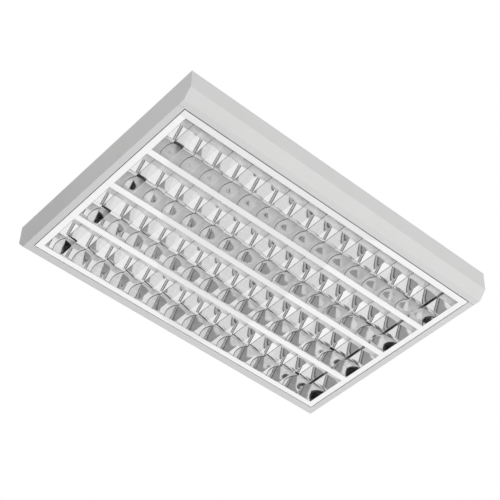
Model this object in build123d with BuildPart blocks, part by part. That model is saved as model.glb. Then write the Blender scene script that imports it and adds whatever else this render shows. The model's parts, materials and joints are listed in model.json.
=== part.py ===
"""Surface mount LED light: four lamps behind a mirror louvre in a folded steel body.

Millimetres. X runs along the light, Y across it, Z up to the ceiling. The origin is the middle of the
back face, so the ceiling is at z = 0 and the louvre plane at z = -HEIGHT. Heights in the sketches below
are counted from the louvre plane.
"""
from build123d import *
import os

os.makedirs("parts", exist_ok=True)

# folded body
LENGTH = 905.0
WIDTH = 627.0
HEIGHT = 78.0
SHEET = 1.0
BEVEL_IN = 20.5
BEVEL_UP = 24.7
FLANGE_LONG = 18.9
FLANGE_END = 17.0
LIP = 9.0
BEND = 1.5
END_TAB = 14.0
TAB_SHORT = 13.5
BUTT = 0.05

# louvre
GAP = 2.0
BAR_LONG = 16.0
BAR_END = 17.0
DIVIDER = 16.0
CHANNELS = 4
LOUVRE_T = 0.5
LOUVRE_FOLD = 7.0
CORNER_R = 2.0
REFLECTOR_IN = 9.0
GEAR_ROOM = 27.0
END_LEAN = 3.0
BLADES = 14
END_CELL = 49.9
BLADE_LOW = 5.0
BLADE_LOW_HALF = 0.45
BLADE_TOP_HALF = 3.0
BLADE_T = 0.4
BLADE_HOLLOW = 0.32
BLADE_ROOT = 3.0
BLADE_GAP = 0.1
CLINCH_TAB = 11.0

# lamps and their holders
END_ROOM = 28.0
LAMP_DROP = 12.0
CAP_R = 8.0
CAP_LENGTH = 18.0
TUBE_WALL = 0.7
TUBE_STEP = 0.2
PIN_R = 1.175
PIN_PITCH = 4.75
PIN_LENGTH = 6.0
BOARD_FIT = 0.1
BOARD_T = 1.2
BOARD_RISE = 2.1
STRIP = 3.4
STRIP_H = 0.8
STRIP_SHORT = 6.0
HOLDER_WIDE = 20.0
HOLDER_LOW = 12.0
HOLDER_UP = 9.0
HOLDER_T = 9.3
HOLDER_GAP = 0.2
HOLDER_CHAMFER = 4.0
ROTOR_R = 6.5
ROTOR_FIT = 0.06
ROTOR_T = 6.6
ROTOR_FLOOR = 0.8
ENTRY = 2.7
LUG = 3.0
LUG_FIT = 0.1

# upper reflectors, which also cover the gear
COVER_T = 0.5
COVER_GAP = 0.6
COVER_DROP = 4.0
HOOD_IN = 12.0
HOOD_RISE = 6.5
SLOT_HALF = 8.7
COVER_SHORT = 2.5
COVER_TURN = 8.0
NOTCH = 8.0
NOTCH_OUT = 18.0

# fasteners
POST = 4.0
POST_FIT = 0.3
POST_X = 300.0
POST_OUT = 19.0
POST_HEAD = 7.0
POST_HEAD_H = 3.2
SCREW_R = 1.9
HEAD_R = 3.6
HEAD_H = 2.4
THREAD_FIT = 0.03
BRACKET_DROP = 24.8
BRACKET_HALF = 300.0
FOOT = 11.4
BRACKET_SCREWS = (-270.0, 270.0)
SLOT = (4.4, 6.0)

# gear
DRIVER = (280.0, 30.0, 20.0)
DRIVER_EAR = 12.0
EAR_T = 1.2
TERMINAL = (34.0, 24.0, 17.0)
TERMINAL_X = -60.0
POLE_PITCH = 10.0
BUTTON = (5.4, 7.4, 5.8)
BUTTON_FIT = 0.3
BUTTON_OUT = 1.8
BUTTON_TRAVEL = 1.5
EARTH_X = -20.0
CABLE_X = -120.0
CABLE_BORE = 5.5
GROMMET_NECK = 9.97
GROMMET_RIM = 13.0
GROMMET_T = 2.0
WIRE_WIDE = 4.4
WIRE_H = 2.0
WIRE_SPREAD = 5.5
CLIP_FROM_DRIVER = 100.0
CLIP_FROM_END = 42.0
CLIP_LONG = 8.0
TERMINAL_ENTRY = 11.0
DRIVER_ENTRY = 12.0
WIRE_LEAD = 8.0
WIRE_RISE = 12.0
WIRE_DROP = 3.0
WIRE_END = 0.4

# ceiling fixing holes
FIX_X = 600.0
FIX_R = 3.25

# hinge and catches of the louvre
HINGE_IN = 2.5
HINGE_UP = 3.6
HINGE_R = 1.25
HINGE_FIT = 0.05
HINGE_OUT = 5.0
CATCH_IN = 152.5
CATCH_WIDE = 28.0
CATCH_T = 0.6
CATCH_PLATE = 0.7
CATCH_CLEAR = 0.25

# derived places
OPEN_X = LENGTH / 2 - FLANGE_END
OPEN_Y = WIDTH / 2 - BEVEL_IN - FLANGE_LONG
LOUVRE_X = OPEN_X - GAP
LOUVRE_Y = OPEN_Y - GAP
INNER_X = LOUVRE_X - BAR_END
INNER_Y = LOUVRE_Y - BAR_LONG
CHANNEL = (2 * INNER_Y - (CHANNELS - 1) * DIVIDER) / CHANNELS
PITCH_Y = CHANNEL + DIVIDER
LOUVRE_H = HEIGHT - GEAR_ROOM
CATCH_X = LENGTH / 2 - CATCH_IN
MIRROR_R = (LOUVRE_H**2 + REFLECTOR_IN**2) / (2 * REFLECTOR_IN)
MIRROR_MID = MIRROR_R - (MIRROR_R**2 - (LOUVRE_H / 2) ** 2) ** 0.5
BLADE_PITCH = 2 * (INNER_X - END_CELL) / (BLADES - 1)
LAMP_HALF = LENGTH / 2 - END_ROOM
LAMP_Z = HEIGHT - LAMP_DROP
PANEL_Z = HEIGHT - SHEET
HOLDER_FACE = LAMP_HALF + HOLDER_GAP
BRACKET_X = HOLDER_FACE + HOLDER_T
COVER_LOW = LOUVRE_H + COVER_GAP
COVER_HIGH = HEIGHT - COVER_DROP
HOOD_Z = COVER_LOW + HOOD_RISE
COVER_HALF = LAMP_HALF - COVER_SHORT
TUBE_R = CAP_R - TUBE_STEP
TUBE_HALF = LAMP_HALF - CAP_LENGTH
BOARD_WIDTH = 2 * ((TUBE_R - TUBE_WALL) ** 2 - (BOARD_RISE + BOARD_T) ** 2) ** 0.5 - BOARD_FIT
WALL_Y = WIDTH / 2 - SHEET
POST_Y = INNER_Y + POST_OUT
FOOT_SCREW_X = BRACKET_X - FOOT / 2
HINGE_Y = LOUVRE_Y - HINGE_IN
LAMP_Y = [(k - (CHANNELS - 1) / 2) * PITCH_Y for k in range(CHANNELS)]
DIVIDER_Y = [(k - (CHANNELS - 2) / 2) * PITCH_Y for k in range(CHANNELS - 1)]
BLADE_X = [(k - (BLADES - 1) / 2) * BLADE_PITCH for k in range(BLADES)]
DRIVER_Y = [DIVIDER_Y[0], DIVIDER_Y[-1]]
FIX_Y = LAMP_Y[-1] - LAMP_Y[0]
NOTCH_X = -(DRIVER[0] / 2 + DRIVER_EAR + NOTCH_OUT)
CLIP_X = (DRIVER[0] / 2 + CLIP_FROM_DRIVER, COVER_HALF - CLIP_FROM_END)
WIRE_Z = PANEL_Z - WIRE_H / 2 - 0.5
RUN_Z = PANEL_Z - SHEET - WIRE_H / 2 - 0.45
POST_SPOTS = [(s * POST_X, y) for s in (-1, 1) for y in (-POST_Y, *DIVIDER_Y, POST_Y)]
EAR_SPOTS = [(s * (DRIVER[0] + DRIVER_EAR) / 2, y) for s in (-1, 1) for y in DRIVER_Y]
FOOT_SPOTS = [(s * FOOT_SCREW_X, y) for s in (-1, 1) for y in BRACKET_SCREWS]

# sketch planes with heights counted from the louvre plane
SECTION = Plane(origin=(0, 0, -HEIGHT), x_dir=(0, 1, 0), z_dir=(1, 0, 0))
PROFILE = Plane(origin=(0, 0, -HEIGHT), x_dir=(1, 0, 0), z_dir=(0, -1, 0))


def level(height):
    """Horizontal sketch plane at a height over the louvre plane."""
    return Plane.XY.offset(height - HEIGHT)


def body_outline():
    """Corners of the closed body outline, across the light."""
    foot = WIDTH / 2 - BEVEL_IN
    right = [(foot, 0), (WIDTH / 2, BEVEL_UP), (WIDTH / 2, HEIGHT)]
    return right + [(-y, z) for y, z in reversed(right)]


def mirror(foot, lean):
    """Mirror arc from the louvre plane up, upright at its foot and leaning one way by its top."""
    return ThreePointArc((foot, 0), (foot + lean * MIRROR_MID, LOUVRE_H / 2), (foot + lean * REFLECTOR_IN, LOUVRE_H))


def mirror_inset(height):
    """How far a mirror arc has moved sideways at a height over the louvre plane."""
    return MIRROR_R - (MIRROR_R**2 - height**2) ** 0.5


def channel_prism(centres, steps):
    """Solid that fills the louvre channels from mouth to top in a few straight steps, less a clearance."""
    half = CHANNEL / 2 - BLADE_GAP
    rungs = [k * LOUVRE_H / steps for k in range(steps + 1)]
    with BuildPart() as prism:
        with BuildSketch(SECTION.offset(-LOUVRE_X)):
            for y in centres:
                right = [(y + half - mirror_inset(z), z) for z in rungs]
                left = [(y - half + mirror_inset(z), z) for z in reversed(rungs)]
                Polygon(*right, *left, align=None)
        extrude(amount=2 * LOUVRE_X)
    return prism.part


def screw(length):
    """Hexagon head screw that points up, its head resting under the sketch level z = 0."""
    with BuildPart() as made:
        with BuildSketch(Plane.XY.offset(-HEAD_H)):
            RegularPolygon(HEAD_R, 6)
        extrude(amount=HEAD_H)
        with BuildSketch(Plane.XY):
            RegularPolygon(SCREW_R, 8)
        extrude(amount=length)
    return made.part


def screws_at(spots, seat, length):
    """One screw under each spot, seated at a height and reaching a length up."""
    made = screw(length)
    return [Pos(x, y, seat - HEIGHT) * made for x, y in spots]


def save(builder, name):
    """Label the part and write its STEP file."""
    builder.part.label = name
    export_step(builder.part, f"parts/{name}.step")


# housing tray: back panel, long walls, bevels, long flanges and return lips
with BuildPart() as housing_tray:
    with BuildSketch(SECTION.offset(-LENGTH / 2 + SHEET)):
        with BuildLine():
            FilletPolyline(
                (-OPEN_Y, LIP),
                (-OPEN_Y, 0),
                (-WIDTH / 2 + BEVEL_IN, 0),
                (-WIDTH / 2, BEVEL_UP),
                (-WIDTH / 2, HEIGHT),
                (WIDTH / 2, HEIGHT),
                (WIDTH / 2, BEVEL_UP),
                (WIDTH / 2 - BEVEL_IN, 0),
                (OPEN_Y, 0),
                (OPEN_Y, LIP),
                radius=BEND,
            )
            offset(amount=SHEET, side=Side.RIGHT, closed=True)
        make_face()
    extrude(amount=LENGTH - 2 * SHEET)
    with BuildSketch(level(PANEL_Z)):
        with GridLocations(FIX_X, FIX_Y, 2, 2):
            Circle(FIX_R)
        with Locations((CABLE_X, 0)):
            Circle(GROMMET_NECK + THREAD_FIT)
    extrude(amount=SHEET, mode=Mode.SUBTRACT)
save(housing_tray, "housing_tray")


def end_plate(side):
    """Flat end with a bottom flange and lip, and a tab under the back panel."""
    half = OPEN_Y - BUTT
    outer = side * LENGTH / 2
    with BuildPart() as plate:
        with BuildSketch(SECTION.offset(outer)):
            Polygon(*body_outline(), align=None)
        extrude(amount=-side * SHEET)
        with BuildSketch(level(0)):
            with Locations((side * (OPEN_X + FLANGE_END / 2), 0)):
                Rectangle(FLANGE_END, 2 * half)
        extrude(amount=SHEET)
        with BuildSketch(SECTION.offset(side * OPEN_X)):
            with Locations((0, LIP / 2)):
                Rectangle(2 * half, LIP)
        extrude(amount=side * SHEET)
        with BuildSketch(level(PANEL_Z - SHEET)):
            with Locations((outer - side * (SHEET + END_TAB / 2), 0)):
                Rectangle(END_TAB + SHEET, WIDTH - 2 * SHEET - 2 * TAB_SHORT)
        extrude(amount=SHEET)
        with BuildSketch(SECTION.offset(side * OPEN_X)):
            with Locations((HINGE_Y, HINGE_UP)):
                Circle(HINGE_R + HINGE_FIT)
        extrude(amount=side * SHEET, mode=Mode.SUBTRACT)
        low = plate.edges().filter_by(Axis.Y).group_by(Axis.Z)[0]
        fillet(low.sort_by(Axis.X)[-1 if side > 0 else 0], SHEET * 0.9)
    return plate


end_plate_left = end_plate(-1)
save(end_plate_left, "end_plate_left")
end_plate_right = end_plate(1)
save(end_plate_right, "end_plate_right")


def lampholder_bracket(side):
    """Upright plate behind the lampholders with a foot under the back panel."""
    with BuildPart() as bracket:
        with BuildSketch(SECTION.offset(side * BRACKET_X)):
            with Locations((0, PANEL_Z - BRACKET_DROP / 2)):
                Rectangle(2 * BRACKET_HALF, BRACKET_DROP)
        extrude(amount=side * SHEET)
        with BuildSketch(level(PANEL_Z - SHEET)):
            with Locations((side * (BRACKET_X - FOOT / 2), 0)):
                Rectangle(FOOT, 2 * BRACKET_HALF)
            with Locations(*[(side * FOOT_SCREW_X, y) for y in BRACKET_SCREWS]):
                Rectangle(SLOT[0], SLOT[1], mode=Mode.SUBTRACT)
        extrude(amount=SHEET)
        with BuildSketch(SECTION.offset(side * BRACKET_X)):
            for y in LAMP_Y:
                with Locations((y - HOLDER_WIDE / 2 + LUG, LAMP_Z), (y + HOLDER_WIDE / 2 - LUG, LAMP_Z)):
                    Rectangle(LUG + 2 * LUG_FIT, LUG + 2 * LUG_FIT)
        extrude(amount=side * SHEET, mode=Mode.SUBTRACT)
    return bracket


lampholder_bracket_left = lampholder_bracket(-1)
save(lampholder_bracket_left, "lampholder_bracket_left")
lampholder_bracket_right = lampholder_bracket(1)
save(lampholder_bracket_right, "lampholder_bracket_right")

with BuildPart() as bracket_screws:
    add(screws_at(FOOT_SPOTS, PANEL_Z - SHEET, SHEET))
save(bracket_screws, "bracket_screws")


def lampholders(side):
    """Four holders of one end, each with a rotor chamber, a pin entry from below and two lugs."""
    with BuildPart() as holders:
        with BuildSketch(SECTION.offset(side * HOLDER_FACE)):
            for y in LAMP_Y:
                with BuildLine():
                    Polyline(
                        (y - HOLDER_WIDE / 2, LAMP_Z + HOLDER_UP),
                        (y - HOLDER_WIDE / 2, LAMP_Z - HOLDER_LOW + HOLDER_CHAMFER),
                        (y - HOLDER_WIDE / 2 + HOLDER_CHAMFER, LAMP_Z - HOLDER_LOW),
                        (y + HOLDER_WIDE / 2 - HOLDER_CHAMFER, LAMP_Z - HOLDER_LOW),
                        (y + HOLDER_WIDE / 2, LAMP_Z - HOLDER_LOW + HOLDER_CHAMFER),
                        (y + HOLDER_WIDE / 2, LAMP_Z + HOLDER_UP),
                        close=True,
                    )
                make_face()
        extrude(amount=side * HOLDER_T)
        with BuildSketch(SECTION.offset(side * BRACKET_X)):
            for y in LAMP_Y:
                with Locations((y - HOLDER_WIDE / 2 + LUG, LAMP_Z), (y + HOLDER_WIDE / 2 - LUG, LAMP_Z)):
                    Rectangle(LUG, LUG)
        extrude(amount=side * (SHEET + 0.5))
        with BuildSketch(SECTION.offset(side * HOLDER_FACE)):
            with Locations(*[(y, LAMP_Z) for y in LAMP_Y]):
                RegularPolygon(ROTOR_R + ROTOR_FIT, 12, major_radius=False)
            with Locations(*[(y, LAMP_Z - HOLDER_LOW / 2) for y in LAMP_Y]):
                Rectangle(ENTRY, HOLDER_LOW)
        extrude(amount=side * (ROTOR_T + ROTOR_FIT + HOLDER_GAP), mode=Mode.SUBTRACT)
    return holders


lampholders_left = lampholders(-1)
save(lampholders_left, "lampholders_left")
lampholders_right = lampholders(1)
save(lampholders_right, "lampholders_right")


def lampholder_rotors(y):
    """Pair of rotors of one lamp with the pin slot level, as when the lamp is locked."""
    with BuildPart() as rotors:
        for side in (-1, 1):
            with BuildSketch(SECTION.offset(side * (HOLDER_FACE + HOLDER_GAP))):
                with Locations((y, LAMP_Z)):
                    Circle(ROTOR_R)
            extrude(amount=side * ROTOR_T)
            with BuildSketch(SECTION.offset(side * (HOLDER_FACE + HOLDER_GAP))):
                with Locations((y, LAMP_Z)):
                    Rectangle(2 * ROTOR_R + 1, 2 * PIN_R + 0.1)
            extrude(amount=side * (ROTOR_T - ROTOR_FLOOR), mode=Mode.SUBTRACT)
    return rotors


def led_tube(y):
    """Open diffuser tube between the end caps."""
    with BuildPart() as tube:
        with BuildSketch(SECTION.offset(-TUBE_HALF)):
            with Locations((y, LAMP_Z)):
                Circle(TUBE_R)
                Circle(TUBE_R - TUBE_WALL, mode=Mode.SUBTRACT)
        extrude(amount=2 * TUBE_HALF)
    return tube


def led_board(y):
    """Board across the tube from cap to cap with its light strip facing down."""
    with BuildPart() as board:
        with BuildSketch(level(LAMP_Z + BOARD_RISE)):
            with Locations((0, y)):
                Rectangle(2 * TUBE_HALF, BOARD_WIDTH)
        extrude(amount=BOARD_T)
        with BuildSketch(level(LAMP_Z + BOARD_RISE)):
            with Locations((0, y)):
                Rectangle(2 * TUBE_HALF - 2 * STRIP_SHORT, STRIP)
        extrude(amount=-STRIP_H)
    return board


def tube_caps(y):
    """End caps of one lamp, each with two contact pins."""
    with BuildPart() as caps:
        for side in (-1, 1):
            with BuildSketch(SECTION.offset(side * LAMP_HALF)):
                with Locations((y, LAMP_Z)):
                    Circle(CAP_R)
            extrude(amount=-side * CAP_LENGTH)
            with BuildSketch(SECTION.offset(side * LAMP_HALF)):
                with Locations((y - PIN_PITCH / 2, LAMP_Z), (y + PIN_PITCH / 2, LAMP_Z)):
                    RegularPolygon(PIN_R, 8)
            extrude(amount=side * PIN_LENGTH)
    return caps


for number, lamp_y in enumerate(LAMP_Y, start=1):
    save(lampholder_rotors(lamp_y), f"lampholder_rotors_{number}")
    save(led_tube(lamp_y), f"led_tube_{number}")
    save(led_board(lamp_y), f"led_board_{number}")
    save(tube_caps(lamp_y), f"tube_caps_{number}")


def upper_reflector(y):
    """Hat over a divider: flat bottom, steep and sloping mirrors and upright edges to the back panel."""
    top = PITCH_Y / 2 - SLOT_HALF
    low = DIVIDER / 2 + REFLECTOR_IN
    bend = DIVIDER / 2 + HOOD_IN
    seat = PANEL_Z - BUTT
    with BuildPart() as cover:
        with BuildSketch(SECTION.offset(-COVER_HALF)):
            with BuildLine():
                Polyline(
                    (y - top, seat),
                    (y - top, COVER_HIGH),
                    (y - bend, HOOD_Z),
                    (y - low, COVER_LOW),
                    (y + low, COVER_LOW),
                    (y + bend, HOOD_Z),
                    (y + top, COVER_HIGH),
                    (y + top, seat),
                )
                offset(amount=COVER_T, side=Side.LEFT, closed=True)
            make_face()
        extrude(amount=2 * COVER_HALF)
        with BuildSketch(level(COVER_LOW)):
            with Locations((-POST_X, y), (POST_X, y)):
                Rectangle(POST + 2 * POST_FIT, POST + 2 * POST_FIT)
        extrude(amount=COVER_T, mode=Mode.SUBTRACT)
        with BuildSketch(level(COVER_HIGH)):
            with Locations((NOTCH_X, y)):
                Rectangle(NOTCH, 2 * top + 2)
        extrude(amount=COVER_DROP, mode=Mode.SUBTRACT)
    return cover


for number, divider_y in enumerate(DIVIDER_Y, start=1):
    save(upper_reflector(divider_y), f"upper_reflector_{number}")


def upper_reflector_edge(side):
    """Steep and sloping mirrors beside an outer lamp with a shelf to the long wall."""
    inner = LAMP_Y[-1] + SLOT_HALF
    low = INNER_Y - REFLECTOR_IN
    wall = WALL_Y - 0.2
    with BuildPart() as cover:
        with BuildSketch(SECTION.offset(-COVER_HALF)):
            with BuildLine():
                Polyline(
                    (side * inner, PANEL_Z - BUTT),
                    (side * inner, COVER_HIGH),
                    (side * (INNER_Y - HOOD_IN), HOOD_Z),
                    (side * low, COVER_LOW),
                    (side * wall, COVER_LOW),
                    (side * wall, COVER_LOW + COVER_TURN),
                )
                offset(amount=COVER_T, side=Side.LEFT if side > 0 else Side.RIGHT, closed=True)
            make_face()
        extrude(amount=2 * COVER_HALF)
        with BuildSketch(level(COVER_LOW)):
            with Locations((-POST_X, side * POST_Y), (POST_X, side * POST_Y)):
                Rectangle(POST + 2 * POST_FIT, POST + 2 * POST_FIT)
        extrude(amount=COVER_T, mode=Mode.SUBTRACT)
    return cover


upper_reflector_near = upper_reflector_edge(-1)
save(upper_reflector_near, "upper_reflector_near")
upper_reflector_far = upper_reflector_edge(1)
save(upper_reflector_far, "upper_reflector_far")

# square snap posts from the back panel through the upper reflectors, with a head under each
with BuildPart() as cover_posts:
    with BuildSketch(level(PANEL_Z)):
        with Locations(*POST_SPOTS):
            Rectangle(POST, POST)
    extrude(amount=-(PANEL_Z - COVER_LOW))
    with BuildSketch(level(COVER_LOW)):
        with Locations(*POST_SPOTS):
            Rectangle(POST_HEAD, POST_HEAD)
    extrude(amount=-POST_HEAD_H, taper=12)
save(cover_posts, "cover_posts")


def led_driver(y):
    """Driver can under the back panel with an ear and a wire terminal at each end."""
    long, wide, high = DRIVER
    with BuildPart() as driver:
        with BuildSketch(level(PANEL_Z)):
            with Locations((0, y)):
                Rectangle(long, wide)
        extrude(amount=-high)
        chamfer(driver.edges().group_by(Axis.Z)[0], 1.2)
        with BuildSketch(level(PANEL_Z)):
            with Locations((0, y)):
                Rectangle(long + 2 * DRIVER_EAR, wide * 0.6)
            with Locations(*[(x, y) for x, spot_y in EAR_SPOTS if spot_y == y]):
                Rectangle(SLOT[1], SLOT[0], mode=Mode.SUBTRACT)
        extrude(amount=-EAR_T)
        for end in (-1, 1):
            with BuildSketch(level(PANEL_Z - high)):
                with Locations((end * (long / 2 - 9), y)):
                    Rectangle(18, wide * 0.8)
            extrude(amount=5.0, mode=Mode.SUBTRACT)
    return driver


led_driver_1 = led_driver(DRIVER_Y[0])
save(led_driver_1, "led_driver_1")
led_driver_2 = led_driver(DRIVER_Y[1])
save(led_driver_2, "led_driver_2")

with BuildPart() as driver_screws:
    add(screws_at(EAR_SPOTS, PANEL_Z - EAR_T, EAR_T))
save(driver_screws, "driver_screws")

# mains terminal with a well for each release button
POLE_X = [TERMINAL_X + (k - 1) * POLE_PITCH for k in range(3)]
TERMINAL_LOW = PANEL_Z - TERMINAL[2]
with BuildPart() as terminal_block:
    with BuildSketch(level(PANEL_Z)):
        with Locations((TERMINAL_X, 0)):
            Rectangle(TERMINAL[0], TERMINAL[1])
    extrude(amount=-TERMINAL[2])
    chamfer(terminal_block.edges().group_by(Axis.Z)[0], 1.0)
    with BuildSketch(level(TERMINAL_LOW)):
        with Locations(*[(x, 0) for x in POLE_X]):
            Rectangle(BUTTON[0] + 2 * BUTTON_FIT, BUTTON[1] + 2 * BUTTON_FIT)
    extrude(amount=BUTTON[2] - BUTTON_OUT + BUTTON_TRAVEL + 0.3, mode=Mode.SUBTRACT)
    with BuildSketch(Plane.XZ.offset(-TERMINAL[1] / 2)):
        with Locations(*[(x, TERMINAL_LOW + TERMINAL_ENTRY - HEIGHT) for x in POLE_X]):
            Rectangle(3.4, 3.4)
    extrude(amount=3.0, mode=Mode.SUBTRACT)
    with BuildSketch(Plane.XZ.offset(TERMINAL[1] / 2)):
        with Locations(*[(x, TERMINAL_LOW + TERMINAL_ENTRY - HEIGHT) for x in POLE_X]):
            Rectangle(3.4, 3.4)
    extrude(amount=-3.0, mode=Mode.SUBTRACT)
save(terminal_block, "terminal_block")


def release_button(x):
    """Push button that stands out of the terminal's lower face."""
    with BuildPart() as button:
        with BuildSketch(level(TERMINAL_LOW - BUTTON_OUT)):
            with Locations((x, 0)):
                Rectangle(BUTTON[0], BUTTON[1])
        extrude(amount=BUTTON[2])
        chamfer(button.edges().group_by(Axis.Z)[0], 0.6)
    return button


for pole, pole_x in zip(("live", "neutral", "earth"), POLE_X):
    save(release_button(pole_x), f"release_button_{pole}")

with BuildPart() as cable_grommet:
    with BuildSketch(level(HEIGHT)):
        with Locations((CABLE_X, 0)):
            Circle(GROMMET_NECK)
    extrude(amount=-SHEET)
    with BuildSketch(level(PANEL_Z)):
        with Locations((CABLE_X, 0)):
            RegularPolygon(GROMMET_RIM, 12)
    extrude(amount=-GROMMET_T)
    with BuildSketch(level(HEIGHT)):
        with Locations((CABLE_X, 0)):
            Circle(CABLE_BORE)
    extrude(amount=-SHEET - GROMMET_T, mode=Mode.SUBTRACT)
save(cable_grommet, "cable_grommet")

RING_T = 0.8
with BuildPart() as earth_screw:
    add(screws_at([(EARTH_X, 0)], PANEL_Z - RING_T, RING_T))
save(earth_screw, "earth_screw")


def flat_wire(points):
    """Flat twin wire that follows points given along, across and over the louvre plane."""
    spots = [Vector(x, y, z - HEIGHT) for x, y, z in points]
    with BuildPart() as wire:
        with BuildLine() as path:
            Polyline(*spots)
        with BuildSketch(Plane(origin=path.line @ 0, z_dir=path.line % 0)):
            Rectangle(WIRE_H, WIRE_H)
        sweep(transition=Transition.RIGHT)
    return wire.part


# wiring: mains to both drivers, each driver to its two lamps, and the earth wire with its ring
with BuildPart() as wiring_loom:
    for driver_y in DRIVER_Y:
        way = 1 if driver_y > 0 else -1
        start_y = way * TERMINAL[1] / 2
        add(
            flat_wire(
                [
                    (TERMINAL_X, start_y, TERMINAL_LOW + TERMINAL_ENTRY),
                    (TERMINAL_X, start_y + way * WIRE_LEAD, TERMINAL_LOW + TERMINAL_ENTRY),
                    (TERMINAL_X, start_y + way * (WIRE_LEAD + WIRE_RISE), WIRE_Z),
                    (NOTCH_X, start_y + way * (WIRE_LEAD + WIRE_RISE), WIRE_Z),
                    (NOTCH_X, driver_y, WIRE_Z),
                    (NOTCH_X, driver_y, PANEL_Z - DRIVER_ENTRY),
                    (-DRIVER[0] / 2, driver_y, PANEL_Z - DRIVER_ENTRY),
                ]
            )
        )
        for lamp_y in LAMP_Y:
            if lamp_y * driver_y < 0:
                continue
            turn = 1 if lamp_y > driver_y else -1
            run_y = driver_y + turn * WIRE_SPREAD
            holder_y = lamp_y - turn * (HOLDER_WIDE / 2 + WIRE_END)
            add(
                flat_wire(
                    [
                        (DRIVER[0] / 2, run_y, PANEL_Z - DRIVER_ENTRY),
                        (DRIVER[0] / 2 + 2 * DRIVER_EAR, run_y, PANEL_Z - DRIVER_ENTRY),
                        (DRIVER[0] / 2 + 3 * DRIVER_EAR, run_y, RUN_Z),
                        (BRACKET_X - FOOT / 2, run_y, RUN_Z),
                        (BRACKET_X - FOOT / 2, holder_y, RUN_Z - WIRE_DROP),
                    ]
                )
            )
    add(
        flat_wire(
            [
                (TERMINAL_X + TERMINAL[0] / 2, 0, TERMINAL_LOW + TERMINAL_ENTRY),
                (TERMINAL_X + TERMINAL[0] / 2 + WIRE_LEAD, 0, TERMINAL_LOW + TERMINAL_ENTRY),
                (EARTH_X - HEAD_R - 4.0, 0, PANEL_Z - WIRE_H / 2 - 0.4),
                (EARTH_X - HEAD_R - 0.6, 0, PANEL_Z - WIRE_H / 2 - 0.4),
            ]
        )
    )
    with BuildSketch(level(PANEL_Z)):
        with Locations((EARTH_X, 0)):
            Circle(HEAD_R + 0.9)
            Circle(SCREW_R + 0.1, mode=Mode.SUBTRACT)
    extrude(amount=-RING_T)
save(wiring_loom, "wiring_loom")

with BuildPart() as cable_clips:
    passage = 2 * WIRE_SPREAD + WIRE_WIDE + 1.2
    for driver_y in DRIVER_Y:
        with BuildSketch(level(PANEL_Z)):
            with Locations(*[(x, driver_y) for x in CLIP_X]):
                Rectangle(CLIP_LONG, passage + 4)
        extrude(amount=-(PANEL_Z - RUN_Z + WIRE_H / 2 + 1.4))
        with BuildSketch(SECTION.offset(CLIP_X[0] - CLIP_LONG)):
            with Locations((driver_y, RUN_Z)):
                Rectangle(passage, WIRE_H + 0.2)
        extrude(amount=CLIP_X[-1] - CLIP_X[0] + 2 * CLIP_LONG, mode=Mode.SUBTRACT)
save(cable_clips, "cable_clips")


def side_reflector(side):
    """Long frame bar with its outer fold, corner flaps and the mirror curve of the outer channel."""
    outer = LOUVRE_Y
    with BuildPart() as bar:
        with BuildSketch(SECTION.offset(-LOUVRE_X)):
            with BuildLine():
                FilletPolyline(
                    (side * outer, LOUVRE_FOLD),
                    (side * outer, 0),
                    (side * INNER_Y, 0),
                    radius=CORNER_R,
                )
                Line((side * INNER_Y, 0), (side * INNER_Y, LOUVRE_T))
                FilletPolyline(
                    (side * INNER_Y, LOUVRE_T),
                    (side * (outer - LOUVRE_T), LOUVRE_T),
                    (side * (outer - LOUVRE_T), LOUVRE_FOLD),
                    radius=CORNER_R - LOUVRE_T,
                )
                Line((side * (outer - LOUVRE_T), LOUVRE_FOLD), (side * outer, LOUVRE_FOLD))
            make_face()
        extrude(amount=2 * LOUVRE_X)
        with BuildSketch(SECTION.offset(-INNER_X + BUTT)):
            with BuildLine():
                face = mirror(side * INNER_Y, -side)
                back = mirror(side * (INNER_Y + LOUVRE_T), -side)
                Line(face @ 0, back @ 0)
                Line(face @ 1, back @ 1)
            make_face()
        extrude(amount=2 * INNER_X - 2 * BUTT)
        for end in (-1, 1):
            with BuildSketch(SECTION.offset(end * LOUVRE_X)):
                with Locations((side * (INNER_Y + outer) / 2, LOUVRE_FOLD / 2 + CORNER_R / 2)):
                    Rectangle(BAR_LONG - 2 * LOUVRE_T, LOUVRE_FOLD - CORNER_R)
                if side > 0:
                    with Locations((HINGE_Y, HINGE_UP)):
                        Circle(HINGE_R + THREAD_FIT, mode=Mode.SUBTRACT)
            extrude(amount=-end * LOUVRE_T)
            with BuildSketch(SECTION.offset(end * LOUVRE_X)):
                with Locations((side * (INNER_Y + outer - CORNER_R) / 2, CORNER_R / 2)):
                    Rectangle(BAR_LONG - CORNER_R - LOUVRE_T, CORNER_R)
            extrude(amount=-end * LOUVRE_T)
            if side > 0:
                with BuildSketch(SECTION.offset(end * LOUVRE_X)):
                    with Locations((HINGE_Y, HINGE_UP)):
                        Circle(HINGE_R + THREAD_FIT)
                extrude(amount=-end * LOUVRE_T, mode=Mode.SUBTRACT)
    return bar


side_reflector_near = side_reflector(-1)
save(side_reflector_near, "side_reflector_near")
side_reflector_far = side_reflector(1)
save(side_reflector_far, "side_reflector_far")


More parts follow.
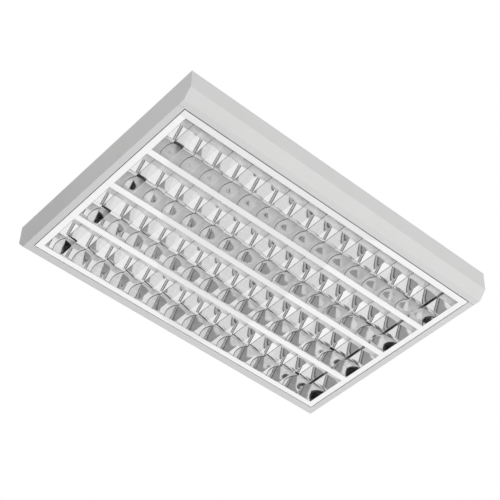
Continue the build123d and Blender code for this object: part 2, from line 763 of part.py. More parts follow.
def divider_reflector(y):
    """Trough with a flat bottom and two mirror curves, open at the top."""
    half = DIVIDER / 2
    inside = half - LOUVRE_T
    floor = mirror_inset(LOUVRE_T)
    middle = mirror_inset((LOUVRE_H + LOUVRE_T) / 2)
    with BuildPart() as trough:
        with BuildSketch(SECTION.offset(-INNER_X + BUTT)):
            with BuildLine():
                right = mirror(y + half, 1)
                left = mirror(y - half, -1)
                inner_right = ThreePointArc(
                    (y + inside + floor, LOUVRE_T),
                    (y + inside + middle, (LOUVRE_H + LOUVRE_T) / 2),
                    (y + inside + REFLECTOR_IN, LOUVRE_H),
                )
                inner_left = ThreePointArc(
                    (y - inside - floor, LOUVRE_T),
                    (y - inside - middle, (LOUVRE_H + LOUVRE_T) / 2),
                    (y - inside - REFLECTOR_IN, LOUVRE_H),
                )
                Line(left @ 0, right @ 0)
                Line(right @ 1, inner_right @ 1)
                Line(inner_right @ 0, inner_left @ 0)
                Line(inner_left @ 1, left @ 1)
            make_face()
        extrude(amount=2 * INNER_X - 2 * BUTT)
    return trough


for number, divider_y in enumerate(DIVIDER_Y, start=1):
    save(divider_reflector(divider_y), f"divider_reflector_{number}")

def louvre_end_frame(side):
    """End frame bar with its outer fold, a leaning mirror in every channel and two clinch tabs."""
    with BuildPart() as frame:
        with BuildSketch(PROFILE.offset(-INNER_Y)):
            with BuildLine():
                Polyline(
                    (side * INNER_X, 0),
                    (side * (INNER_X - END_LEAN), LOUVRE_H),
                    (side * (INNER_X - END_LEAN + LOUVRE_T), LOUVRE_H),
                    (side * (INNER_X + LOUVRE_T), 0),
                    close=True,
                )
            make_face()
        extrude(amount=2 * INNER_Y)
        add(channel_prism(LAMP_Y, 4), mode=Mode.INTERSECT)
        with BuildSketch(PROFILE.offset(-INNER_Y + BUTT)):
            with BuildLine():
                FilletPolyline(
                    (side * INNER_X, 0),
                    (side * LOUVRE_X, 0),
                    (side * LOUVRE_X, LOUVRE_FOLD),
                    radius=1.0,
                )
                Line((side * LOUVRE_X, LOUVRE_FOLD), (side * (LOUVRE_X - LOUVRE_T), LOUVRE_FOLD))
                FilletPolyline(
                    (side * (LOUVRE_X - LOUVRE_T), LOUVRE_FOLD),
                    (side * (LOUVRE_X - LOUVRE_T), LOUVRE_T),
                    (side * INNER_X, LOUVRE_T),
                    radius=1.0 - LOUVRE_T,
                )
                Line((side * INNER_X, LOUVRE_T), (side * INNER_X, 0))
            make_face()
        extrude(amount=2 * INNER_Y - 2 * BUTT)
        with BuildSketch(level(LOUVRE_T)):
            with Locations(*[(side * (INNER_X + BAR_END / 2), way * INNER_Y) for way in (-1, 1)]):
                Rectangle(BAR_END - 5, 2 * CLINCH_TAB)
        extrude(amount=LOUVRE_T)
    return frame


louvre_end_frame_left = louvre_end_frame(-1)
save(louvre_end_frame_left, "louvre_end_frame_left")
louvre_end_frame_right = louvre_end_frame(1)
save(louvre_end_frame_right, "louvre_end_frame_right")


def cross_blades(y):
    """Blades of one channel: folded V strips with concave flanks and an open top."""
    waist = BLADE_LOW_HALF + BLADE_HOLLOW * (BLADE_TOP_HALF - BLADE_LOW_HALF)
    middle = (BLADE_LOW + LOUVRE_H) / 2
    half = [
        (BLADE_LOW_HALF, BLADE_LOW),
        (waist, middle),
        (BLADE_TOP_HALF, LOUVRE_H),
        (BLADE_TOP_HALF - BLADE_T, LOUVRE_H),
    ]
    other = [(-x, z) for x, z in reversed(half)]
    with BuildPart() as blades:
        with BuildSketch(PROFILE.offset(-y - CHANNEL / 2)):
            Polygon(*half, (0, BLADE_LOW + BLADE_ROOT), *other, align=None)
        extrude(amount=CHANNEL)
        add(channel_prism([y], 3), mode=Mode.INTERSECT)
    with BuildPart() as row:
        with Locations(*[(x, 0, 0) for x in BLADE_X]):
            add(blades.part)
    return row


for number, lamp_y in enumerate(LAMP_Y, start=1):
    save(cross_blades(lamp_y), f"cross_blades_{number}")

# hinge pins of the louvre, pressed into the corner flaps
with BuildPart() as louvre_hinge_pins:
    for side in (-1, 1):
        with BuildSketch(SECTION.offset(side * (LOUVRE_X - LOUVRE_T - HINGE_IN))):
            with Locations((HINGE_Y, HINGE_UP)):
                Circle(HINGE_R)
        extrude(amount=side * (HINGE_IN + LOUVRE_T + HINGE_OUT))
save(louvre_hinge_pins, "louvre_hinge_pins")

CATCH_Y = LOUVRE_Y - 8.1
with BuildPart() as catch_plates:
    with BuildSketch(level(LOUVRE_T)):
        with Locations((-CATCH_X, -CATCH_Y - 1.6), (CATCH_X, -CATCH_Y - 1.6)):
            Rectangle(CATCH_WIDE, 8.0)
    extrude(amount=CATCH_PLATE)
save(catch_plates, "catch_plates")


def louvre_catch(side):
    """Spring leaf that stands on its plate and bears on the lip of the near long flange."""
    root = LOUVRE_T + CATCH_PLATE + 0.15
    nose = OPEN_Y - CATCH_CLEAR
    with BuildPart() as catch:
        with BuildSketch(SECTION.offset(side * CATCH_X - (CATCH_WIDE - 4) / 2)):
            with BuildLine():
                Polyline(
                    (-CATCH_Y, root),
                    (-CATCH_Y, LIP + 4.0),
                    (-CATCH_Y - 3.4, LIP + 6.0),
                    (-nose, LIP + 2.0),
                    (-nose + 3.0, LIP - 0.6),
                )
                offset(amount=CATCH_T, side=Side.RIGHT, closed=True)
            make_face()
        extrude(amount=CATCH_WIDE - 4)
    return catch


louvre_catch_left = louvre_catch(-1)
save(louvre_catch_left, "louvre_catch_left")
louvre_catch_right = louvre_catch(1)
save(louvre_catch_right, "louvre_catch_right")
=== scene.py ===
"""Looks of the surface mount LED light: white folded body, mirror louvre and four opal lamps.

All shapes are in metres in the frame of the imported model: X along the light, Y across it and Z up
to the ceiling, with the ceiling at z = 0 and the louvre plane at z = -0.078.
"""

import json
import logging
from dataclasses import dataclass, field
from enum import Enum
from functools import cached_property
from typing import Callable, Optional, Sequence

import bmesh
import bpy
import numpy as np
from mathutils import Matrix, Vector


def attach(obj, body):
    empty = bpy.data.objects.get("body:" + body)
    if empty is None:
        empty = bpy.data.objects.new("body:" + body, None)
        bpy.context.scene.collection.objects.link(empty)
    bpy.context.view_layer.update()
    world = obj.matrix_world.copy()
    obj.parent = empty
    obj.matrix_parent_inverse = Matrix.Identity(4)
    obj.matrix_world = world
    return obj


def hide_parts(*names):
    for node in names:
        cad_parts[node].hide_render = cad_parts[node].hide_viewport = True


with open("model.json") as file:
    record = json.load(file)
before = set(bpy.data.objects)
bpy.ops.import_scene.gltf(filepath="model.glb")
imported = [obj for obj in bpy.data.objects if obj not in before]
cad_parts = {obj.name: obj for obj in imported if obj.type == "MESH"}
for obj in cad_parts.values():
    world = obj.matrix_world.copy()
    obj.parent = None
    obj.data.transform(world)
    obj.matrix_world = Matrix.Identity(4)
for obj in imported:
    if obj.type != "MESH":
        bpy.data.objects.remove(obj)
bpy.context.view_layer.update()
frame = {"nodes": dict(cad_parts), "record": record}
LOG = logging.getLogger("surface_light")

Array = np.ndarray
Socket = bpy.types.NodeSocket
Cells = tuple[float, float, float]
Colour = tuple[float, float, float]
Point = tuple[float, float, float]
Span = tuple[float, float]

# Noise values lie around 0.5, and most of them between these two
NOISE_LOW = 0.3
NOISE_HIGH = 0.7
# Octaves of finer noise in the colour of a finish
TONE_DETAIL = 3.0
# The gloss of a finish varies in smaller cells than its colour, by this factor
GLOSS_GRAIN = 2.3
# Points closer than this, in metres, become one
MERGE = 1e-7
# Angle in degrees over which an edge stays sharp
SHARP = 25.0
# Colour of white light, with its alpha
WHITE = (1.0, 1.0, 1.0, 1.0)


class Slot(Enum):
    """Material slots of the record that the pieces take their finish from."""

    PAINT = "white_paint"
    MIRROR = "mirror_aluminium"
    ZINC = "zinc_steel"
    PLASTIC = "white_plastic"
    DRIVER = "driver_case"
    GREY = "grey_plastic"
    ORANGE = "orange_plastic"
    RUBBER = "black_rubber"
    WIRE = "wire_pvc"
    SPRING = "spring_steel"
    DIFFUSER = "diffuser"
    BOARD = "led_board"


class Side(Enum):
    """The two sides of a thing along X or Y, with the sign of their place."""

    MINUS = -1
    PLUS = 1

    @property
    def end(self) -> str:
        """Name of the light's end on this side."""
        return "left" if self is Side.MINUS else "right"

    @property
    def long_side(self) -> str:
        """Name of the light's long side on this side."""
        return "near" if self is Side.MINUS else "far"


# Finishes


def even(cells: float) -> Cells:
    """The same number of cells per metre along X, Y and Z."""
    return (cells, cells, cells)


def grey(level: float) -> Colour:
    """Neutral colour of one level."""
    return (level, level, level)


class NodeSheet:
    """Short way to lay out the nodes of a material or a world."""

    def __init__(self, owner: bpy.types.ID, output: str = "ShaderNodeOutputMaterial") -> None:
        """Start with an empty node tree and an output.

        Args:
            owner: Material or world that the nodes belong to.
            output: Blender's name of the output node type.
        """
        self.owner = owner
        owner.use_nodes = True
        self.tree = owner.node_tree
        self.tree.nodes.clear()
        self.surface = self.add(output).inputs["Surface"]

    @cached_property
    def where(self) -> Socket:
        """The object's own coordinates."""
        return self.add("ShaderNodeTexCoord").outputs["Object"]

    def add(
        self, kind: str, levels: Optional[dict[str | int, object]] = None, **values: object
    ) -> bpy.types.Node:
        """Add a node and set its properties and inputs.

        Args:
            kind: Blender's name of the node type.
            levels: Value of each input that is set, by its name or number.
            **values: Properties of the node.

        Returns:
            The new node.
        """
        node = self.tree.nodes.new(kind)
        for key, value in values.items():
            setattr(node, key, value)
        for key, level in (levels or {}).items():
            node.inputs[key].default_value = level
        return node

    def join(self, source: Socket, target: Socket) -> None:
        """Link two sockets."""
        self.tree.links.new(source, target)

    def noise(self, cells: Cells, detail: float = 2.0) -> Socket:
        """Noise over the object's own coordinates, stretched per axis.

        Args:
            cells: Cells per metre along X, Y and Z.
            detail: Octaves of finer noise.

        Returns:
            The grey value socket of the noise.
        """
        mapping = self.add("ShaderNodeMapping", {"Scale": cells})
        self.join(self.where, mapping.inputs["Vector"])
        noise = self.add("ShaderNodeTexNoise", {"Scale": 1.0, "Detail": detail})
        self.join(mapping.outputs["Vector"], noise.inputs["Vector"])
        return noise.outputs["Fac"]

    def spread(self, value: Socket, low: float, high: float) -> Socket:
        """Map the middle of a noise value to a range.

        Args:
            value: Socket with values around 0.5.
            low: Result at NOISE_LOW.
            high: Result at NOISE_HIGH.

        Returns:
            The mapped value.
        """
        levels = {"From Min": NOISE_LOW, "From Max": NOISE_HIGH, "To Min": low, "To Max": high}
        node = self.add("ShaderNodeMapRange", levels)
        self.join(value, node.inputs["Value"])
        return node.outputs["Result"]

    def blend(self, value: Socket, low: Colour, high: Colour) -> Socket:
        """Mix two colours by a noise value.

        Args:
            value: Socket with values around 0.5.
            low: Colour at NOISE_LOW.
            high: Colour at NOISE_HIGH.

        Returns:
            The mixed colour.
        """
        node = self.add("ShaderNodeValToRGB")
        first, last = node.color_ramp.elements
        first.position = NOISE_LOW
        first.color = (*low, 1.0)
        last.position = NOISE_HIGH
        last.color = (*high, 1.0)
        self.join(value, node.inputs["Fac"])
        return node.outputs["Color"]

    def mottle(self, cells: Cells, levels: Span) -> Socket:
        """Neutral colour that varies a little over the surface.

        Args:
            cells: Cells per metre along X, Y and Z.
            levels: Darkest and lightest level.

        Returns:
            The colour.
        """
        return self.blend(self.noise(cells), grey(levels[0]), grey(levels[1]))

    def bump(self, height: Socket, strength: float, depth: float) -> Socket:
        """Turn a height value into a bumped normal.

        Args:
            height: Socket with the height.
            strength: Strength of the bump from 0 to 1.
            depth: Height of the bump in metres.

        Returns:
            The normal socket.
        """
        node = self.add("ShaderNodeBump", {"Strength": strength, "Distance": depth})
        self.join(height, node.inputs["Height"])
        return node.outputs["Normal"]

    def mix(self, share: Socket, first: Socket, second: Socket) -> None:
        """Mix two shaders and show them.

        Args:
            share: Socket with the share of the second shader.
            first: Shader at a share of 0.
            second: Shader at a share of 1.
        """
        node = self.add("ShaderNodeMixShader")
        self.join(share, node.inputs["Fac"])
        self.join(first, node.inputs[1])
        self.join(second, node.inputs[2])
        self.join(node.outputs["Shader"], self.surface)


@dataclass(frozen=True)
class Finish:
    """A surface finish with its colour variation, gloss and fine relief.

    Attributes:
        slot: Material slot that the finish belongs to.
        dark: Darker end of the colour variation.
        light: Lighter end of the colour variation.
        grain: Cells per metre of the colour and gloss variation along X, Y and Z.
        smooth: Lowest roughness.
        rough: Highest roughness.
        metal: Metallic share.
        relief: Cells per metre of the fine relief along X, Y and Z.
        relief_depth: Height of the fine relief in metres.
        relief_strength: Strength of the fine relief.
        painted_glow: Strength of a faint painted light of its own, on a surface that is no lit lamp.
        specular: Level of the clear reflection of a paint or plastic.
        part: Part of a slot's pieces that the finish is for, empty for the whole.
    """

    slot: Slot
    dark: Colour
    light: Colour
    grain: Cells
    smooth: float
    rough: float
    metal: float = 0.0
    relief: Cells = even(900.0)
    relief_depth: float = 0.00002
    relief_strength: float = 0.2
    painted_glow: float = 0.0
    specular: float = 0.5
    part: str = ""

    def make(self) -> bpy.types.Material:
        """Build the node material.

        Returns:
            The material.
        """
        sheet = NodeSheet(bpy.data.materials.new(self.slot.value + self.part + "_finish"))
        levels = {"Metallic": self.metal, "Specular IOR Level": self.specular}
        # A faint emission is painted light: it lifts a surface that is no lit lamp out of its shade.
        if self.painted_glow > 0.0:
            levels |= {"Emission Color": WHITE, "Emission Strength": self.painted_glow}
        shader = sheet.add("ShaderNodeBsdfPrincipled", levels)
        tone = sheet.noise(self.grain, TONE_DETAIL)
        sheet.join(sheet.blend(tone, self.dark, self.light), shader.inputs["Base Color"])
        gloss = sheet.noise(tuple(GLOSS_GRAIN * cells for cells in self.grain))
        sheet.join(sheet.spread(gloss, self.smooth, self.rough), shader.inputs["Roughness"])
        fine = sheet.noise(self.relief)
        sheet.join(sheet.bump(fine, self.relief_strength, self.relief_depth), shader.inputs["Normal"])
        sheet.join(shader.outputs["BSDF"], sheet.surface)
        return sheet.owner


def finishes() -> dict[tuple[Slot, str], Finish]:
    """Every finish of the light.

    Returns:
        The finish of each material slot and part.
    """
    rows = [
        Finish(
            Slot.PAINT,
            dark=(0.79, 0.79, 0.785),
            light=(0.815, 0.815, 0.81),
            grain=even(5.0),
            smooth=0.42,
            rough=0.52,
            relief=even(1100.0),
            relief_depth=0.00003,
            relief_strength=0.18,
            specular=0.35,
        ),
        Finish(
            Slot.MIRROR,
            dark=grey(0.89),
            light=grey(0.925),
            grain=(3.0, 160.0, 160.0),
            smooth=0.025,
            rough=0.06,
            metal=1.0,
            relief=(14.0, 500.0, 500.0),
            relief_depth=0.000004,
            relief_strength=0.06,
        ),
        # Blade rims: the dark grey is painted shade on the mirror sheet of the rim hems.
        Finish(
            Slot.MIRROR,
            dark=(0.16, 0.16, 0.163),
            light=(0.21, 0.21, 0.213),
            grain=(300.0, 40.0, 300.0),
            smooth=0.45,
            rough=0.6,
            specular=0.2,
            part="_painted_shade_rim",
        ),
        # Blade webs: pale strips whose faint glow is painted light falling into the blades from above.
        Finish(
            Slot.MIRROR,
            dark=grey(0.82),
            light=grey(0.88),
            grain=(200.0, 30.0, 200.0),
            smooth=0.4,
            rough=0.55,
            painted_glow=0.25,
            part="_painted_light_web",
        ),
        Finish(
            Slot.ZINC,
            dark=(0.55, 0.56, 0.58),
            light=(0.78, 0.79, 0.8),
            grain=even(260.0),
            smooth=0.22,
            rough=0.38,
            metal=1.0,
            relief=even(1500.0),
            relief_strength=0.15,
        ),
        Finish(
            Slot.PLASTIC,
            dark=(0.79, 0.79, 0.775),
            light=(0.84, 0.84, 0.825),
            grain=even(60.0),
            smooth=0.32,
            rough=0.45,
            relief=even(1800.0),
        ),
        Finish(
            Slot.DRIVER,
            dark=(0.76, 0.77, 0.78),
            light=(0.83, 0.84, 0.85),
            grain=even(40.0),
            smooth=0.4,
            rough=0.55,
            relief=even(1400.0),
            relief_depth=0.00005,
        ),
        Finish(
            Slot.GREY,
            dark=(0.42, 0.43, 0.45),
            light=(0.5, 0.51, 0.53),
            grain=even(80.0),
            smooth=0.38,
            rough=0.5,
            relief=even(1600.0),
        ),
        Finish(
            Slot.ORANGE,
            dark=(0.78, 0.27, 0.04),
            light=(0.88, 0.34, 0.06),
            grain=even(120.0),
            smooth=0.3,
            rough=0.42,
        ),
        Finish(
            Slot.RUBBER,
            dark=(0.018, 0.018, 0.019),
            light=(0.035, 0.035, 0.037),
            grain=even(140.0),
            smooth=0.6,
            rough=0.8,
            relief=even(1300.0),
            relief_strength=0.35,
        ),
        Finish(
            Slot.WIRE,
            dark=(0.72, 0.72, 0.7),
            light=(0.8, 0.8, 0.78),
            grain=even(30.0),
            smooth=0.34,
            rough=0.46,
        ),
        Finish(
            Slot.SPRING,
            dark=(0.5, 0.51, 0.53),
            light=(0.68, 0.69, 0.71),
            grain=(20.0, 700.0, 700.0),
            smooth=0.2,
            rough=0.34,
            metal=1.0,
            relief=(60.0, 1500.0, 1500.0),
            relief_strength=0.2,
        ),
        # Opal tubes, unlit: their faint glow is painted light that lifts them out of the housing's shade.
        Finish(
            Slot.DIFFUSER,
            dark=grey(0.88),
            light=grey(0.92),
            grain=(14.0, 60.0, 60.0),
            smooth=0.3,
            rough=0.4,
            relief=even(700.0),
            painted_glow=0.12,
        ),
        Finish(
            Slot.BOARD,
            dark=(0.76, 0.76, 0.73),
            light=(0.85, 0.85, 0.82),
            grain=even(90.0),
            smooth=0.35,
            rough=0.5,
        ),
    ]
    return {(row.slot, row.part): row for row in rows}


# Surfaces


def corner_points(centre: Sequence[float], radius: float, start: float, stop: float, count: int) -> Array:
    """Points of a circular bend.

    Formula: centre + radius (cos a, sin a), with a from start to stop in degrees.

    Args:
        centre: Middle of the bend.
        radius: Radius of the bend.
        start: First angle in degrees.
        stop: Last angle in degrees.
        count: Number of points.

    Returns:
        Array of count points.
    """
    angle = np.radians(np.linspace(start, stop, count))
    return np.array(centre) + radius * np.stack([np.cos(angle), np.sin(angle)], axis=1)


def turned(y: float, z: float, stations: Array, radii: Array, segments: int) -> Array:
    """Rings of a profile that is turned about a line along X.

    Formula: point (i, a) = (stations[i], y + radii[i] cos a, z + radii[i] sin a).

    Args:
        y: Place of the line across the light.
        z: Height of the line.
        stations: Place of each ring along X.
        radii: Radius of each ring.
        segments: Points on each ring.

    Returns:
        Grid of rings by segments of (x, y, z) points.
    """
    angle = np.linspace(0.0, 2 * np.pi, segments, endpoint=False)
    x = np.repeat(stations[:, None], segments, axis=1)
    across = y + np.outer(radii, np.cos(angle))
    up = z + np.outer(radii, np.sin(angle))
    return np.stack([x, across, up], axis=-1)


def ring_faces(rings: int, points: int, closed: bool = True, looped: bool = False) -> list[list[int]]:
    """Quads between neighbouring rings of equal point count.

    Formula: quad (i, j) joins points j and j + 1 of ring i with the same points of ring i + 1.

    Args:
        rings: Number of rings.
        points: Points on each ring.
        closed: Whether the last point of a ring joins its first.
        looped: Whether the last ring joins the first.

    Returns:
        Point numbers of each quad.
    """
    spans = rings if looped else rings - 1
    steps = points if closed else points - 1
    i, j = np.meshgrid(np.arange(spans), np.arange(steps), indexing="ij")
    here = i * points
    there = (i + 1) % rings * points
    after = (j + 1) % points
    quads = np.stack([here + j, here + after, there + after, there + j], axis=-1)
    return quads.reshape(-1, 4).tolist()


def new_piece(
    name: str, points: Array, faces: Sequence[Sequence[int]], sharp: float = SHARP
) -> bpy.types.Object:
    """Mesh object from arrays, smooth but for edges over an angle, with its faces outwards.

    Args:
        name: Name of the piece.
        points: List or grid of (x, y, z) points in metres.
        faces: Point numbers of each face.
        sharp: Angle in degrees over which an edge stays sharp.

    Returns:
        The linked object at the origin.
    """
    mesh = bpy.data.meshes.new(name)
    mesh.from_pydata(points.reshape(-1, 3).tolist(), [], faces)
    work = bmesh.new()
    work.from_mesh(mesh)
    bmesh.ops.remove_doubles(work, verts=work.verts, dist=MERGE)
    bmesh.ops.recalc_face_normals(work, faces=work.faces)
    work.to_mesh(mesh)
    work.free()
    mesh.polygons.foreach_set("use_smooth", np.ones(len(mesh.polygons), dtype=bool))
    mesh.set_sharp_from_angle(angle=float(np.radians(sharp)))
    mesh.update()
    piece = bpy.data.objects.new(name, mesh)
    bpy.context.scene.collection.objects.link(piece)
    return piece


def open_sheet(name: str, points: Array) -> bpy.types.Object:
    """Thin sheet through a grid of points, open on its four sides.

    Args:
        name: Name of the sheet.
        points: Grid of (x, y, z) points in metres.

    Returns:
        The linked object at the origin.
    """
    rows, columns = points.shape[:2]
    return new_piece(name, points, ring_faces(rows, columns, closed=False))


class ShapeHeap:
    """Collects several closed shapes that become one piece."""

    def __init__(self) -> None:
        """Start with nothing."""
        self.points: list[Array] = []
        self.faces: list[list[int]] = []
        self.count = 0

    def add(self, rings: Array) -> None:
        """Add one shape of rings that are joined in their order, and close both ends.

        Args:
            rings: Grid of rings by points of (x, y, z) in metres.
        """
        count, points = rings.shape[:2]
        first = list(range(points))
        last = [(count - 1) * points + k for k in reversed(first)]
        faces = ring_faces(count, points) + [first, last]
        self.faces += [[number + self.count for number in face] for face in faces]
        self.points.append(rings.reshape(-1, 3))
        self.count += count * points

    def prism(
        self, profile: Array, stations: Sequence[float], place: Callable[[Array, float], Array]
    ) -> None:
        """Carry a closed profile past some stations and close both ends.

        Formula: point (i, j) is place(profile[j], stations[i]).

        Args:
            profile: Closed outline, one row per point.
            stations: Places along the path.
            place: Gives the points in space for a profile and one station.
        """
        self.add(np.stack([place(profile, station) for station in stations]))

    def piece(self, name: str, sharp: float = SHARP) -> bpy.types.Object:
        """Make the collected shapes one object.

        Args:
            name: Name of the piece.
            sharp: Angle in degrees over which an edge stays sharp.

        Returns:
            The object.
        """
        return new_piece(name, np.concatenate(self.points), self.faces, sharp)


def along_x(profile: Array, x: float) -> Array:
    """Profile of (y, z) points placed at x."""
    return np.column_stack([np.full(len(profile), x), profile])


def along_y(profile: Array, y: float | Array) -> Array:
    """Profile of (x, z) points placed at y, which is one value or one for each point."""
    return np.column_stack([profile[:, 0], np.full(len(profile), y), profile[:, 1]])


def mirrored(profile: Array) -> Array:
    """Profile turned over left to right, with its points in reverse order."""
    return profile[::-1] * [-1.0, 1.0]


# Sub-assemblies


class Dresser:
    """Gives pieces and CAD nodes their finish and reports them."""

    def __init__(self) -> None:
        """Build every finish once and look up the material slot of each CAD node."""
        self.materials = {key: finish.make() for key, finish in finishes().items()}
        self.slots = {row["node"]: Slot(row["material_slot"]) for row in frame["record"]["subparts"]}
        self.done: list[str] = []

    def dress(
        self, piece: bpy.types.Object, slot: Slot, body: str, stands_for: Sequence[str], part: str = ""
    ) -> None:
        """Finish a new piece and let it ride on a body in place of CAD nodes.

        Args:
            piece: The new piece.
            slot: Material slot of its finish.
            body: CAD body that it moves with.
            stands_for: CAD nodes that it is shown for.
            part: Part of the slot's pieces that it is.
        """
        piece.data.materials.clear()
        piece.data.materials.append(self.materials[slot, part])
        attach(piece, body)
        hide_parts(*stands_for)
        self.done.append(piece.name)
        LOG.info("piece %s: %s on %s, %d faces", piece.name, slot.value, body, len(piece.data.polygons))

    def carry(self, node: str) -> None:
        """Put the finish of its record slot on a CAD node.

        Args:
            node: Name of the CAD node.
        """
        mesh = frame["nodes"][node].data
        mesh.materials.clear()
        mesh.materials.append(self.materials[self.slots[node], ""])
        LOG.info("node %s: %s", node, self.slots[node].value)


@dataclass
class LouvreSizes:
    """Sizes of the mirror louvre in metres.

    Attributes:
        plane: Height of the louvre plane.
        height: Height of the mirrors and blades over the plane.
        reach_x: Half length over the end bars.
        reach_y: Half width over the long bars.
        inner_x: Half length inside the end bars.
        inner_y: Half width inside the long bars.
        channels: Number of channels.
        divider: Width of a divider at the louvre plane.
        inset: How far a mirror leans in at its top.
        bow: Power of the mirror curve.
        sheet: Thickness of the sheet.
        fold: Height of the outer fold.
        corner: Outer bend radius of the long bars.
        end_corner: Outer bend radius of the end bars.
        end_lean: How far an end mirror leans in at its top.
        end_cell: Length of the cell beside an end bar.
        blades: Blades in each channel.
        cross_gap: Gap between a mirror and what crosses the channel.
    """

    plane: float = -0.078
    height: float = 0.051
    reach_x: float = 0.4335
    reach_y: float = 0.2721
    inner_x: float = 0.4165
    inner_y: float = 0.2561
    channels: int = 4
    divider: float = 0.016
    inset: float = 0.009
    bow: float = 1.7
    sheet: float = 0.0005
    fold: float = 0.007
    corner: float = 0.002
    end_corner: float = 0.001
    end_lean: float = 0.003
    end_cell: float = 0.0499
    blades: int = 14
    cross_gap: float = 0.0001

    @property
    def channel(self) -> float:
        """Width of a channel at the louvre plane."""
        return (2 * self.inner_y - (self.channels - 1) * self.divider) / self.channels

    @property
    def channel_centres(self) -> list[float]:
        """Y of the channel centres."""
        return self._spaced(self.channels)

    @property
    def divider_centres(self) -> list[float]:
        """Y of the dividers."""
        return self._spaced(self.channels - 1)

    @property
    def blade_places(self) -> Array:
        """X of the blades of a channel."""
        pitch = 2 * (self.inner_x - self.end_cell) / (self.blades - 1)
        return (np.arange(self.blades) - (self.blades - 1) / 2) * pitch

    def _spaced(self, count: int) -> list[float]:
        """Y of a row about the middle, in steps of a channel and a divider."""
        pitch = self.channel + self.divider
        return [(k - (count - 1) / 2) * pitch for k in range(count)]


